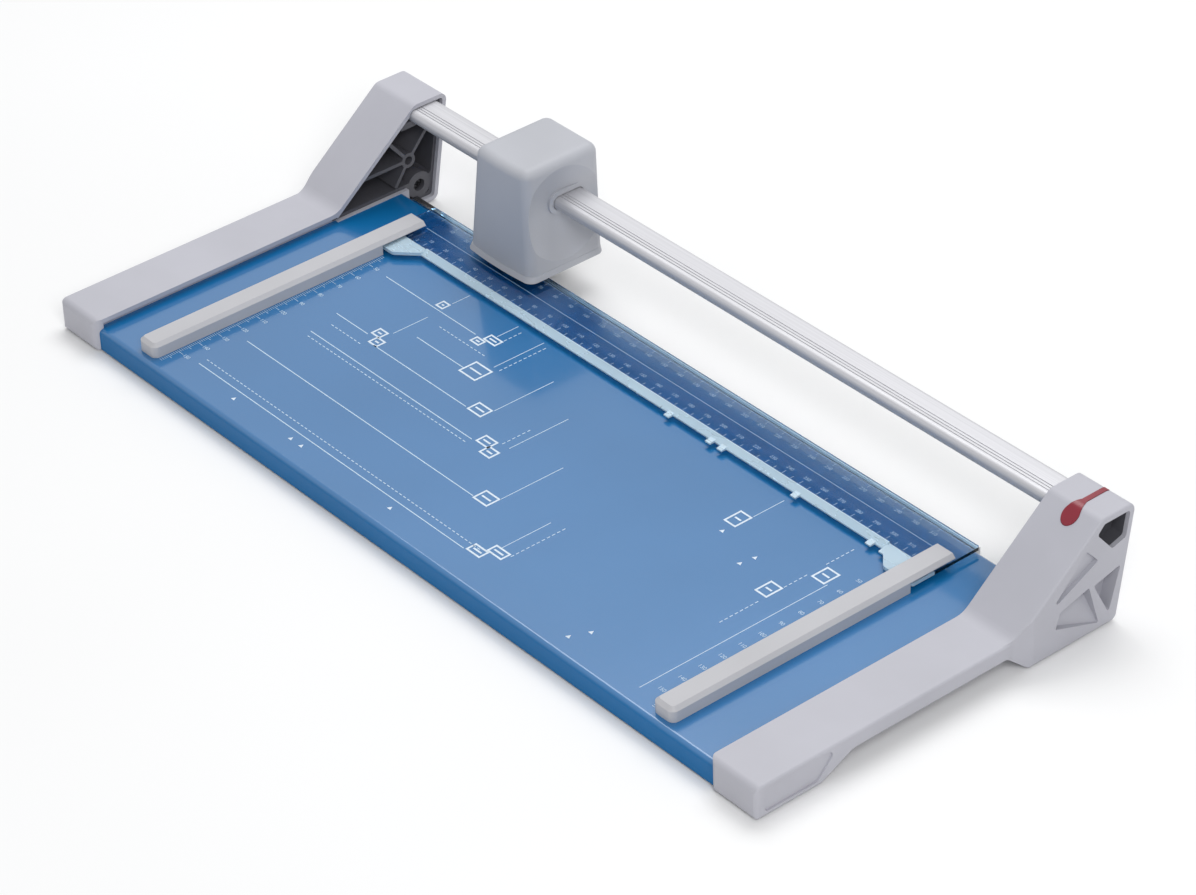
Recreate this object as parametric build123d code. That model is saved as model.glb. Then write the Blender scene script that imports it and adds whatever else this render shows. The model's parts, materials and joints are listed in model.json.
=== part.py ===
from build123d import *
import os
from math import atan2, degrees, hypot

# A desktop rolling trimmer: a steel table between two end caps, a flat rail from cap to cap, and a
# cutting head that slides on the rail and rolls a round blade against the fixed blade of the table.
# Sizes are in millimetres. The pieces are drawn with the cutting line at y = 0 and the table top at
# z = 0, the user's side being -y, and are then moved so that the trimmer stands on z = 0 with the
# middle of its outline at x = y = 0.

# Overall layout
CAP_SPAN = 390.0            # between the inner faces of the two end caps
CAP_WIDTH = 26.0
CAP_FRONT = 167.0           # from the cutting line to the front end of the caps
STAND_HEIGHT = 11.0         # table top above the floor
SEAT = 0.05                 # clearance of a piece in its seat
SLIP = 0.3                  # clearance of a moving piece from what it passes

# Table and fixed blade
SHEET = 1.2                 # steel of the table
SHEET_BEND = 2.2            # outer radius of its folds
TABLE_FRONT = 165.0
TABLE_INSERT = 8.0          # table edge held inside each cap
LIP_HEIGHT = 10.0
FLANGE_HEIGHT = 9.0
COUNTER_THICKNESS = 2.5
COUNTER_HEIGHT = 8.6
COUNTER_BEVEL = 0.6
COUNTER_INSET = 6.0         # left end short of the left cap
COUNTER_SCREWS = 5

# Stop bars
LEFT_MARGIN = 22.7          # bare table between the left bar and its cap
RIGHT_MARGIN = 26.8
BAR_WIDTH = 11.6
BAR_HEIGHT = 6.5
BAR_REAR = 17.0
BAR_FRONT = 161.0
BAR_CHAMFER = 1.6
BAR_END_ROUND = 3.0
BAR_SCREW_INSET = 22.0      # bar screws from the ends of the bar's foot
NOTCH_HEIGHT = 4.6          # rear end of the bar, open beneath for the press strip

# Clear press strip
STRIP_THICKNESS = 1.5
PAPER_GAP = 1.8             # strip above the table at rest
STRIP_REAR = 3.2
STRIP_FRONT = 31.0
STRIP_UNDER_BAR = 11.0
EAR_FRONT = 39.5            # the ends reach further forward, under the bars
EAR_WIDTH = 5.0             # ear in front of the bar's inner face
EAR_FLARE = 9.0
LIP_RUN = 3.6               # sloping lip along the front edge
LIP_RISE = 0.7
LIP_EDGE = 0.6
POINTER_WIDTH = 3.0
POINTER_LENGTH = 2.4
POINTERS = (0.560, 0.640, 0.662, 0.800, 0.936, 0.960)   # paper widths over the width between the bars

# Guide rail
RAIL_WIDTH = 16.0
RAIL_HEIGHT = 6.0
RAIL_EDGE = 2.6
RAIL_Y = 11.5
RAIL_Z = 35.6
RAIL_GROOVE = 0.5
RAIL_GROOVE_STEP = 1.5
RAIL_INSERT = 15.5          # rail end inside each cap

# End caps: outline in side view
SKIN = 2.0                  # wall of the caps
HEADROOM = 0.4              # cap skin above the rail
ARM_TOP = 4.5
ARM_BOTTOM = -2.6
RAIL_TO_CREST = 2.5         # crest of the slope behind the rail's front edge
RAIL_TO_BACK = 4.6
SLOPE_RUN = 45.0
BACK_LEAN = 8.5             # foot of the back in front of its top
FRONT_FOOT = 32.0
FRONT_ARCH_RUN = 16.0
REAR_FOOT_FRONT = 31.0
REAR_ARCH_RUN = 9.0
CAP_EDGE = 1.2              # rounding of the outer edges
NOSE_ROUND = 4.0
RISER_BULGE = 2.0           # outer side of the riser beyond that of the arm
RISER_LEAD = 4.0            # the bulge starts in front of the slope's foot
BULGE_RUN = 14.0
UNDERCUT = 2.2              # groove under the arm's inner edge, above the table
CAP_OUTER_WALL = 8.0        # outer wall of the riser, with its sunk panels
PANEL_DEPTH = 1.8
FACET_SLANT = 16.0          # degrees by which the slanted facet dips towards the top
CORNER_DEPTH = 6.0
FOOT_PANEL_DEPTH = 0.8
WINDOW_LINER = 1.2
PAD_RADIUS = 6.0
PAD_THICKNESS = 2.0
PAD_PROUD = 0.8             # pads stand below the caps

# Brackets in the risers
BRACKET_INSET = 2.0         # ribs stand back from the cap's inner face
BRACKET_WEB = 2.5
RIB = 1.6
SMALL_BOSS = 3.6
LARGE_BOSS = 6.4

# Red insert on the right cap
INLAY_BULB = 3.7
INLAY_TAIL = 2.4
INLAY_SHIFT = 1.5           # outwards from the middle of the cap
INLAY_DEPTH = 1.0
INLAY_PROUD = 0.3

# Cutting head
HEAD_FROM_LEFT = 82.5       # middle of the head from the left cap, as it stands at rest
HEAD_WIDTH = 42.0
HEAD_TOP_WIDTH = 34.0
HEAD_FRONT = 16.0
HEAD_BEHIND_RAIL = 6.5
HEAD_BOTTOM = 6.0
HEAD_ABOVE_RAIL = 18.4
HEAD_DRAFT = 2.8            # the front leans back by this much, up to the top
HEAD_LEAN = 2.4             # and so does the back
HEAD_BOW = 1.2              # swell of the front
HEAD_CORNER = 4.5
HEAD_TOP_ROUND = 4.5
HEAD_WALL = 2.0
HEAD_SIDE_WALL = 3.2
HEAD_SIDE_TOP_WALL = 8.8
HEAD_LIP = 0.8              # flare of the bottom edge
HEAD_LIP_HEIGHT = 2.4
DISH_RADIUS = 21.0
DISH_DEPTH = 4.4
DISH_BACK = 1.5             # middle of the dish behind that of the head's foot
COLLAR = 2.2
COLLAR_PROUD = 1.5

# Blade and its bearing
BLADE_SHARE = 1 / 3         # radius of the round blade over the width of the head
BLADE_THICKNESS = 0.8
BLADE_BEVEL = 1.6
BLADE_DIP = 2.5             # blade edge below the table top
BLADE_GAP = 0.04            # blade beside the counter blade
HUB_RADIUS = 5.2
HUB_BOSS = 3.4
HUB_LENGTH = 1.8
HUB_NOSE = 2.0
AXLE_RADIUS = 1.8
AXLE_FIT = 0.03
AXLE_GROOVE = 0.75          # radius of the clip's groove over that of the axle
SPRING_RADIUS = 3.8
SPRING_HEIGHT = 0.9
SPRING_WIRE = 0.4
CLIP_RADIUS = 3.2
CLIP_THICKNESS = 0.6

# Carrier, bushes and underside of the head
CARRIER_WALL = 2.4
BUSH_WALL = 2.0
BUSH_LENGTH = 5.0
BUSH_FIT = 0.05
GUARD_THICKNESS = 1.2
GUARD_RECESS = 0.3
WINDOW_SPARE = 1.0          # window beyond the blade at each end
GUARD_SCREW_SHARE = 0.6     # guard screws, as a share of the carrier's half width
SHOE_WIDTH = 30.0
SHOE_DEPTH = 7.4
SHOE_FRONT = 11.0
SHOE_RUNUP = 2.2
SHOE_EDGE = 0.6             # upright part of the shoe's ends

# Screws
SCREW_RADIUS = 1.5
SCREW_HEAD = 2.6
SCREW_HEAD_HEIGHT = 1.6
SCREW_SPARE = 1.0           # a screw ends short of the bottom of its hole
RECESS_WIDTH = 0.8
RECESS_DEPTH = 0.7

# Values that follow from the sizes above
CAP_IN = CAP_SPAN / 2
CAP_OUT = CAP_IN + CAP_WIDTH
TABLE_HALF = CAP_IN + TABLE_INSERT
RISER_OUT = CAP_OUT + RISER_BULGE
LEFT_BAR = LEFT_MARGIN + BAR_WIDTH / 2 - CAP_IN
RIGHT_BAR = CAP_IN - RIGHT_MARGIN - BAR_WIDTH / 2
PAPER_LEFT = LEFT_BAR + BAR_WIDTH / 2
PAPER_RIGHT = RIGHT_BAR - BAR_WIDTH / 2
NOTCH_FRONT = EAR_FRONT + 4 * SLIP
STRIP_LEFT = PAPER_LEFT - STRIP_UNDER_BAR
STRIP_RIGHT = PAPER_RIGHT + STRIP_UNDER_BAR
STRIP_TOP = PAPER_GAP + STRIP_THICKNESS
PLATE_FRONT = STRIP_FRONT - LIP_RUN
RAIL_FRONT_Y = RAIL_Y - RAIL_WIDTH / 2
RAIL_BACK_Y = RAIL_Y + RAIL_WIDTH / 2
RAIL_TOP = RAIL_Z + RAIL_HEIGHT / 2
RAIL_BOTTOM = RAIL_Z - RAIL_HEIGHT / 2
RAIL_HALF = CAP_IN + RAIL_INSERT
RISER_TOP = RAIL_TOP + HEADROOM + SKIN
CREST_Y = RAIL_FRONT_Y + RAIL_TO_CREST
SLOPE_FOOT_Y = CREST_Y - SLOPE_RUN
BACK_TOP_Y = RAIL_BACK_Y + RAIL_TO_BACK
BACK_FOOT_Y = BACK_TOP_Y - BACK_LEAN
CAP_BOTTOM = PAD_PROUD - STAND_HEIGHT
CAVITY_X = RISER_OUT - CAP_OUTER_WALL
HEAD_X = HEAD_FROM_LEFT - CAP_IN
HEAD_BACK = RAIL_BACK_Y + HEAD_BEHIND_RAIL
HEAD_TOP = RAIL_TOP + HEAD_ABOVE_RAIL
BLADE_RADIUS = HEAD_WIDTH * BLADE_SHARE
BLADE_Z = BLADE_RADIUS - BLADE_DIP
GUARD_BOTTOM = HEAD_BOTTOM + GUARD_RECESS
GUARD_TOP = GUARD_BOTTOM + GUARD_THICKNESS
FRONT_EDGE = -CAP_FRONT


def slab_x(outline, x0, x1):
    """A y-z outline made solid from x0 to x1."""
    return extrude(Plane.YZ.offset(x0) * outline, amount=x1 - x0, dir=(1, 0, 0))


def slab_z(outline, z0, z1):
    """An x-y outline made solid from z0 to z1."""
    return extrude(Pos(0, 0, z0) * outline, amount=z1 - z0, dir=(0, 0, 1))


def block(x0, x1, y0, y1, z0, z1):
    """A box between two corners."""
    middle = Pos((x0 + x1) / 2, (y0 + y1) / 2, (z0 + z1) / 2)
    return middle * Box(x1 - x0, y1 - y0, z1 - z0)


def rod_x(radius, y, z, x0, x1):
    """A round bar along x."""
    return Pos((x0 + x1) / 2, y, z) * Rot(0, 90, 0) * Cylinder(radius, abs(x1 - x0))


def rod_y(radius, x, z, y0, y1):
    """A round bar along y."""
    return Pos(x, (y0 + y1) / 2, z) * Rot(90, 0, 0) * Cylinder(radius, abs(y1 - y0))


def rod_z(radius, x, y, z0, z1):
    """A round bar along z."""
    return Pos(x, y, (z0 + z1) / 2) * Cylinder(radius, abs(z1 - z0))


def outline(corners):
    """A closed face through (a, b, radius) corners, each rounded by its own radius."""
    points = [(a, b) for a, b, radius in corners]
    radii = [radius for a, b, radius in corners]
    return make_face(FilletPolyline(*points, radius=radii, close=True))


def beam(start, end, width):
    """A flat strip from one point to another, for ribs."""
    along = end[0] - start[0]
    across = end[1] - start[1]
    middle = Pos((start[0] + end[0]) / 2, (start[1] + end[1]) / 2)
    return middle * Rot(0, 0, degrees(atan2(across, along))) * Rectangle(hypot(along, across), width)


def pan_screw(place, length):
    """A pan-head screw with a cross recess: head on +z of its place, shank below."""
    shank = Pos(0, 0, -length / 2) * Cylinder(SCREW_RADIUS, length)
    head = Pos(0, 0, SCREW_HEAD_HEIGHT / 2) * Cylinder(SCREW_HEAD, SCREW_HEAD_HEIGHT)
    head = fillet(head.edges().group_by(Axis.Z)[-1], SCREW_HEAD_HEIGHT * 0.5)
    recess = Pos(0, 0, SCREW_HEAD_HEIGHT) * (
        Box(SCREW_HEAD * 1.1, RECESS_WIDTH, RECESS_DEPTH * 2)
        + Box(RECESS_WIDTH, SCREW_HEAD * 1.1, RECESS_DEPTH * 2)
    )
    return place * (shank + head - recess)


def flush_screw(place, length, clearance=0.0):
    """A countersunk screw, its head flush with the z = 0 plane of its place; or the hole for it."""
    cone_height = SCREW_HEAD - SCREW_RADIUS
    cone = Pos(0, 0, -cone_height / 2) * Cone(SCREW_RADIUS + clearance, SCREW_HEAD + clearance, cone_height)
    shank = Pos(0, 0, -length / 2) * Cylinder(SCREW_RADIUS + clearance, length)
    return place * (cone + shank)


def group(shapes):
    """Separate solids of one kind, kept in one node."""
    return Compound([solid for shape in shapes for solid in shape.solids()])


def both_sides(shape):
    """A right-hand shape and its mirror image."""
    return [shape, mirror(shape, about=Plane.YZ)]


# Outlines that several pieces share
def rail_outline(clearance=0.0):
    edge = min(RAIL_EDGE, RAIL_HEIGHT * 0.45)
    section = RectangleRounded(RAIL_WIDTH + 2 * clearance, RAIL_HEIGHT + 2 * clearance, edge + clearance)
    return Pos(RAIL_Y, RAIL_Z) * section


def table_outline(clearance=0.0):
    """Side view of the folded sheet, grown by a clearance for the slot that holds it."""
    top_back = -COUNTER_THICKNESS
    depth = TABLE_FRONT - COUNTER_THICKNESS
    middle = (top_back - TABLE_FRONT) / 2
    bend = SHEET_BEND
    drop = LIP_HEIGHT + 2 * bend
    outer = Pos(middle, -drop / 2 + clearance / 2) * Rectangle(depth + 2 * clearance, drop + clearance)
    outer = fillet(outer.vertices().group_by(Axis.Y)[-1], bend + clearance)
    inner_drop = drop - SHEET
    inner = Pos(middle, -SHEET - inner_drop / 2 - clearance / 2)
    inner = inner * Rectangle(depth - 2 * SHEET - 2 * clearance, inner_drop - clearance)
    inner = fillet(inner.vertices().group_by(Axis.Y)[-1], max(bend - SHEET - clearance, 0.2))
    half = depth / 2 + 1
    keep_front = Pos(middle - depth / 4, -LIP_HEIGHT / 2) * Rectangle(half, LIP_HEIGHT + 2 * clearance)
    keep_back = Pos(middle + depth / 4, -FLANGE_HEIGHT / 2) * Rectangle(half, FLANGE_HEIGHT + 2 * clearance)
    return (outer - inner) & (keep_front + keep_back)


def cap_outline():
    """Side view of an end cap: front foot, arm, rear foot and the leaning riser."""
    return outline([
        (FRONT_EDGE, CAP_BOTTOM, 1.5),
        (FRONT_EDGE, ARM_TOP, 3.0),
        (SLOPE_FOOT_Y, ARM_TOP, 10.0),
        (CREST_Y, RISER_TOP, 5.0),
        (BACK_TOP_Y, RISER_TOP, 3.5),
        (BACK_FOOT_Y, CAP_BOTTOM, 3.0),
        (-REAR_FOOT_FRONT, CAP_BOTTOM, 1.5),
        (-REAR_FOOT_FRONT - REAR_ARCH_RUN, ARM_BOTTOM, 4.0),
        (FRONT_EDGE + FRONT_FOOT + FRONT_ARCH_RUN, ARM_BOTTOM, 9.0),
        (FRONT_EDGE + FRONT_FOOT, CAP_BOTTOM, 2.0),
    ])


SLOPE_RISE = (RISER_TOP - ARM_TOP) / SLOPE_RUN
SLOPE_SHIFT = SKIN * hypot(1, SLOPE_RISE) / SLOPE_RISE      # skin of the slope, measured along y
BACK_RISE = (RISER_TOP - CAP_BOTTOM) / BACK_LEAN
BACK_SHIFT = SKIN * hypot(1, BACK_RISE) / BACK_RISE


def slope_y(z):
    """Where the outer face of the slope is at height z."""
    return SLOPE_FOOT_Y + (z - ARM_TOP) / SLOPE_RISE


def back_y(z):
    """Where the outer face of the back is at height z."""
    return BACK_FOOT_Y + (z - CAP_BOTTOM) / BACK_RISE


def cavity_outline(inset=0.0):
    """Side view of the hollow in a riser, clear of the table."""
    floor = CAP_BOTTOM + SKIN + inset
    ledge = SLIP + inset
    roof = RISER_TOP - SKIN - inset
    slope_gap = SLOPE_SHIFT + inset * SLOPE_SHIFT / SKIN
    back_gap = BACK_SHIFT + inset * BACK_SHIFT / SKIN
    return outline([
        (SLIP + inset, floor, 0.0),
        (SLIP + inset, ledge, 0.0),
        (slope_y(ledge) + slope_gap, ledge, 0.0),
        (slope_y(roof) + slope_gap, roof, 3.0),
        (back_y(roof) - back_gap, roof, 1.5),
        (back_y(floor) - back_gap, floor, 1.5),
    ])


# Fixed pieces
def base_table():
    table = slab_x(table_outline(), -TABLE_HALF, TABLE_HALF)
    for place in bar_screw_places() + table_screw_places():
        table -= place * Cylinder(SCREW_RADIUS + SEAT, BAR_HEIGHT * 4)
    for place in counter_screw_places():
        table -= flush_screw(place, COUNTER_THICKNESS * 3, SEAT)
    return table


def counter_blade():
    left = -CAP_IN + COUNTER_INSET
    right = STRIP_RIGHT - COUNTER_INSET / 2
    blade = block(left, right, -COUNTER_THICKNESS, 0, -COUNTER_HEIGHT, 0)
    front_top = blade.edges().group_by(Axis.Z)[-1].sort_by(Axis.Y)[0]
    blade = chamfer(front_top, COUNTER_BEVEL)
    for place in counter_screw_places():
        blade -= flush_screw(place, COUNTER_THICKNESS * 3, SEAT)
    return blade


def counter_screw_places():
    """Screw heads sunk in the rear face of the fixed blade."""
    first = -CAP_IN + 3 * COUNTER_INSET
    step = (STRIP_RIGHT - 2 * COUNTER_INSET - first) / (COUNTER_SCREWS - 1)
    facing_back = Rot(-90, 0, 0)
    sunk = 2 * SEAT
    return [Pos(first + n * step, -sunk, -COUNTER_HEIGHT * 0.58) * facing_back for n in range(COUNTER_SCREWS)]


def counter_blade_screws():
    length = COUNTER_THICKNESS + SHEET + SCREW_SPARE
    return group([flush_screw(place, length) for place in counter_screw_places()])


def stop_bar(x):
    """A bar on the table, notched beneath its rear end for the press strip."""
    half = BAR_WIDTH / 2
    bar = block(x - half, x + half, -BAR_FRONT, -BAR_REAR, 0, BAR_HEIGHT)
    front_corners = bar.edges().filter_by(Axis.Z).group_by(Axis.Y)[0]
    bar = fillet(front_corners, BAR_END_ROUND)
    long_edges = bar.faces().sort_by(Axis.Z)[-1].edges().filter_by(Axis.Y)
    bar = chamfer(long_edges, BAR_CHAMFER)
    bar -= block(x - BAR_WIDTH, x + BAR_WIDTH, -NOTCH_FRONT, -BAR_REAR + 1, -1, NOTCH_HEIGHT)
    for place in bar_screw_places():
        bar -= place * Cylinder(SCREW_RADIUS + SEAT, 2 * (SHEET + BAR_HEIGHT - BAR_CHAMFER))
    return bar


def bar_screw_places():
    """Screws from under the table into both bars, facing down."""
    rows = (-BAR_FRONT + BAR_SCREW_INSET, -NOTCH_FRONT - BAR_SCREW_INSET)
    return [Pos(x, y, -SHEET) * Rot(180, 0, 0) for x in (LEFT_BAR, RIGHT_BAR) for y in rows]


def bar_screws():
    length = SHEET + BAR_HEIGHT - BAR_CHAMFER - SCREW_SPARE
    return group([pan_screw(place, length) for place in bar_screw_places()])


def press_strip():
    """Clear plate of the paper clamp, its ends under the bars."""
    plate = outline([
        (STRIP_LEFT, -STRIP_REAR, 1.0),
        (STRIP_RIGHT, -STRIP_REAR, 1.0),
        (STRIP_RIGHT, -PLATE_FRONT, 0.0),
        (STRIP_LEFT, -PLATE_FRONT, 0.0),
    ])
    return slab_z(plate, PAPER_GAP, STRIP_TOP)


def strip_lip():
    """Frosted front edge of the clamp: a sloping lip, ears that reach under the bars, and pointers."""
    back = -PLATE_FRONT - SEAT
    ears = (
        (STRIP_LEFT, PAPER_LEFT + EAR_WIDTH, PAPER_LEFT + EAR_WIDTH + EAR_FLARE),
        (STRIP_RIGHT, PAPER_RIGHT - EAR_WIDTH, PAPER_RIGHT - EAR_WIDTH - EAR_FLARE),
    )
    section = make_face(Polyline(
        (back, PAPER_GAP),
        (-STRIP_FRONT, PAPER_GAP),
        (-STRIP_FRONT, PAPER_GAP + LIP_EDGE),
        (back - LIP_EDGE, STRIP_TOP + LIP_RISE),
        (back, STRIP_TOP + LIP_RISE),
        close=True,
    ))
    lip = slab_x(section, ears[0][2], ears[1][2])
    for tip, inner, flare in ears:
        ear = outline([
            (tip, back, 0.0),
            (tip, -EAR_FRONT, 1.5),
            (inner, -EAR_FRONT, 3.0),
            (flare, -STRIP_FRONT, 0.0),
            (flare, back, 0.0),
        ])
        lip += slab_z(ear, PAPER_GAP, STRIP_TOP)
    wedge = make_face(Polyline(
        (back, PAPER_GAP),
        (-STRIP_FRONT - POINTER_LENGTH, PAPER_GAP),
        (-STRIP_FRONT - POINTER_LENGTH, PAPER_GAP + LIP_EDGE),
        (back, STRIP_TOP),
        close=True,
    ))
    for share in POINTERS:
        x = PAPER_LEFT + share * (PAPER_RIGHT - PAPER_LEFT)
        lip += slab_x(wedge, x - POINTER_WIDTH / 2, x + POINTER_WIDTH / 2)
    return lip


def guide_rail():
    """Flat aluminium rail with fine grooves along the front of its top, bored for the end screws."""
    section = rail_outline()
    for n in range(3):
        y = RAIL_FRONT_Y + RAIL_EDGE + RAIL_GROOVE_STEP * (n + 0.5)
        section -= Pos(y, RAIL_TOP) * Rectangle(RAIL_GROOVE, RAIL_GROOVE)
    rail = slab_x(section, -RAIL_HALF, RAIL_HALF)
    for side in (-1, 1):
        rail -= rod_x(SCREW_RADIUS + SEAT, RAIL_Y, RAIL_Z, side * RAIL_HALF, side * CAP_IN)
    return rail


def end_cover():
    """The right-hand cap: a moulded shell, open towards the table at the riser."""
    arm = slab_x(cap_outline(), CAP_IN, CAP_OUT)
    arm = fillet(arm.faces().sort_by(Axis.X)[-1].outer_wire().edges(), CAP_EDGE)
    arm &= slab_z(arm_plan(), CAP_BOTTOM - 1, RISER_TOP + 1)
    riser = slab_x(riser_outline(), CAP_IN, RISER_OUT)
    riser = fillet(riser.faces().sort_by(Axis.X)[-1].outer_wire().edges(), CAP_EDGE)
    riser &= slab_z(riser_plan(), CAP_BOTTOM - 1, RISER_TOP + 1)
    cap = arm + riser
    cap -= slab_x(cavity_outline(), CAP_IN - 1, CAVITY_X)
    cap -= slab_x(rail_outline(SLIP), CAP_IN - 1, CAVITY_X)
    cap -= slab_x(table_outline(SEAT), CAP_IN - 1, TABLE_HALF + SEAT)
    cap -= block(CAP_IN - 1, CAP_IN + UNDERCUT, FRONT_EDGE + 2 * SKIN, SLOPE_FOOT_Y, 0, ARM_TOP - SKIN)
    cap -= side_panels()
    cap -= slab_x(end_window(), CAVITY_X - 1, RISER_OUT + 1)
    cap -= slab_x(end_window(WINDOW_LINER + SEAT), CAVITY_X - 1, RISER_OUT - SKIN)
    for x, y in pad_places():
        cap -= rod_z(PAD_RADIUS + SEAT, x, y, CAP_BOTTOM - 1, CAP_BOTTOM + PAD_THICKNESS - PAD_PROUD)
    for place in table_screw_places():
        cap -= flush_screw(place, ARM_TOP - ARM_BOTTOM - SKIN, SEAT)
    y, z = large_boss()
    cap -= rod_x(SCREW_RADIUS + SEAT, y, z, CAVITY_X - 1, CAVITY_X + cover_screw_grip())
    return cap


def arm_plan():
    """Plan view of a cap without the bulge of its riser, the front corners rounded."""
    behind = BACK_TOP_Y + 1
    return outline([
        (CAP_IN, FRONT_EDGE, NOSE_ROUND),
        (CAP_OUT, FRONT_EDGE, NOSE_ROUND / 2),
        (CAP_OUT, behind, 0.0),
        (CAP_IN, behind, 0.0),
    ])


def riser_plan():
    """Plan view of the riser: its outer side swells out from that of the arm."""
    start = SLOPE_FOOT_Y - RISER_LEAD
    behind = BACK_TOP_Y + 1
    return make_face(Polyline(
        (CAP_IN, start),
        (CAP_OUT - CAP_EDGE, start),
        (RISER_OUT, start + BULGE_RUN),
        (RISER_OUT, behind),
        (CAP_IN, behind),
        close=True,
    ))


def riser_outline():
    """The part of a cap's side view behind the start of the bulge."""
    start = SLOPE_FOOT_Y - 2 * RISER_LEAD
    behind = BACK_TOP_Y + 1
    height = RISER_TOP - CAP_BOTTOM
    keep = Pos((start + behind) / 2, (RISER_TOP + CAP_BOTTOM) / 2) * Rectangle(behind - start, height + 2)
    return cap_outline() & keep


def riser_point(across, up):
    """A point of the riser's side: up from the table, and across from the slope (0) to the back (1)."""
    z = up * RISER_TOP
    front = slope_y(z)
    return front + across * (back_y(z) - front), z


def rounded(points, radius):
    return outline([(y, z, radius) for y, z in points])


def end_window(grow=0.0):
    """Opening high in the outer wall, which leads to the rail's end screw."""
    corners = [riser_point(0.20, 0.85), riser_point(0.19, 0.94), riser_point(0.86, 0.94)]
    corners += [riser_point(0.91, 0.66), riser_point(0.72, 0.61)]
    return offset(rounded(corners, 1.5), grow) if grow else rounded(corners, 1.5)


def side_panels():
    """Sunk shapes on the outer side: panel beside the slope, slanted facet, deep corner, foot panel."""
    panel = rounded([riser_point(0.18, 0.735), riser_point(0.55, 0.56), riser_point(0.21, 0.27)], 0.8)
    facet_left = riser_point(0.36, 0.20)
    facet_low = riser_point(0.42, 0.03)
    facet_right = riser_point(0.85, -0.17)
    facet_top = riser_point(0.60, 0.30)
    facet = rounded([facet_left, facet_low, facet_right, facet_top], 0.6)
    corner = rounded([riser_point(0.66, 0.285), riser_point(0.93, 0.37), riser_point(0.92, -0.12)], 0.8)
    outside = RISER_OUT + 1
    sunk = slab_x(panel, RISER_OUT - PANEL_DEPTH, outside)
    floor = Plane(origin=(RISER_OUT - PANEL_DEPTH / 2, *facet_right), x_dir=(0, 0, 1), z_dir=(1, 0, 0))
    below = floor * Rot(0, FACET_SLANT, 0) * Pos(0, 0, -CAP_FRONT / 2) * Box(CAP_FRONT, CAP_FRONT, CAP_FRONT)
    sunk += slab_x(facet, RISER_OUT - CORNER_DEPTH, outside) - below
    sunk += slab_x(corner, RISER_OUT - CORNER_DEPTH, outside)
    low = CAP_BOTTOM + SKIN
    foot = rounded([
        (FRONT_EDGE + 2 * SKIN, low),
        (FRONT_EDGE + 2 * SKIN, ARM_TOP - SKIN),
        (FRONT_EDGE + FRONT_FOOT + FRONT_ARCH_RUN / 2, ARM_TOP - SKIN),
        (FRONT_EDGE + FRONT_FOOT - SKIN, low),
    ], SKIN)
    sunk += slab_x(foot, CAP_OUT - FOOT_PANEL_DEPTH, CAP_OUT + 1)
    return sunk


def pad_places():
    """Centres of the rubber pads under one cap."""
    middle = (CAP_IN + CAP_OUT) / 2
    front = FRONT_EDGE + FRONT_FOOT / 2
    rear = (BACK_FOOT_Y - REAR_FOOT_FRONT) / 2
    return [(middle, front), (middle, rear)]


def rubber_feet():
    pads = []
    for x, y in pad_places():
        pad = rod_z(PAD_RADIUS, x, y, -STAND_HEIGHT, CAP_BOTTOM + PAD_THICKNESS - PAD_PROUD)
        pad = chamfer(pad.edges().group_by(Axis.Z)[0], PAD_PROUD / 2)
        pads += both_sides(pad)
    return group(pads)


def table_screw_places():
    """Countersunk screws up through the arm's ledge and the table edge, facing down."""
    x = CAP_IN + TABLE_INSERT / 2
    front = FRONT_EDGE + FRONT_FOOT + FRONT_ARCH_RUN + 2 * PAD_RADIUS
    rows = (front, SLOPE_FOOT_Y - 2 * PAD_RADIUS)
    return [Pos(side * x, y, ARM_BOTTOM) * Rot(180, 0, 0) for side in (-1, 1) for y in rows]


def table_screws():
    length = ARM_TOP - ARM_BOTTOM - SKIN - SCREW_SPARE / 2
    return group([flush_screw(place, length) for place in table_screw_places()])


def small_boss():
    """Middle of the hollow post where the bracket's ribs meet."""
    return riser_point(0.64, 0.33)


def large_boss():
    """Middle of the screw boss low at the back of a bracket."""
    return SLIP + LARGE_BOSS + RIB / 2, CAP_BOTTOM + SKIN + LARGE_BOSS + RIB / 2


def bracket():
    """The right-hand frame inside the riser: a web, a rim, ribs meeting at a post, and the rail's cradle."""
    body = cavity_outline(SEAT)
    rim = body - cavity_outline(SEAT + RIB)
    small = small_boss()
    large = large_boss()
    ribs = Pos(RAIL_Y, RAIL_BOTTOM - RIB) * Rectangle(RAIL_WIDTH * 1.5, 2 * RIB)
    ends = [(0.80, 0.70), (0.08, 0.66), (0.05, 0.33), (0.61, 0.06)]
    for end in ends:
        ribs += beam(small, riser_point(*end), RIB)
    ribs += beam(large, (large[0] + 2 * LARGE_BOSS, large[1] + LARGE_BOSS), RIB)
    ribs += Pos(*small) * Circle(SMALL_BOSS)
    ribs += Pos(*large) * Circle(LARGE_BOSS)
    ribs &= body
    front = CAP_IN + BRACKET_INSET
    frame = slab_x(body, CAVITY_X - BRACKET_WEB, CAVITY_X) + slab_x(rim + ribs, front, CAVITY_X)
    liner = end_window(WINDOW_LINER) - end_window()
    frame += slab_x(liner, CAVITY_X - SEAT, RISER_OUT - SKIN - SEAT)
    frame -= slab_x(rail_outline(SEAT), front - 1, RAIL_HALF + SEAT)
    frame -= rod_x(SCREW_RADIUS + SEAT, RAIL_Y, RAIL_Z, RAIL_HALF - 1, CAVITY_X + 1)
    frame -= rod_x(SMALL_BOSS - RIB, *small, front - 1, CAVITY_X - BRACKET_WEB)
    frame -= rod_x(SCREW_RADIUS + SEAT, *large, front - 1, CAVITY_X + 1)
    frame -= rod_x(SCREW_HEAD + SLIP, *large, front - 1, front + 2 * SCREW_HEAD_HEIGHT)
    return frame


def cover_screw_grip():
    """Depth of the cover screw's hole in the outer wall."""
    return CAP_OUTER_WALL / 2


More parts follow.
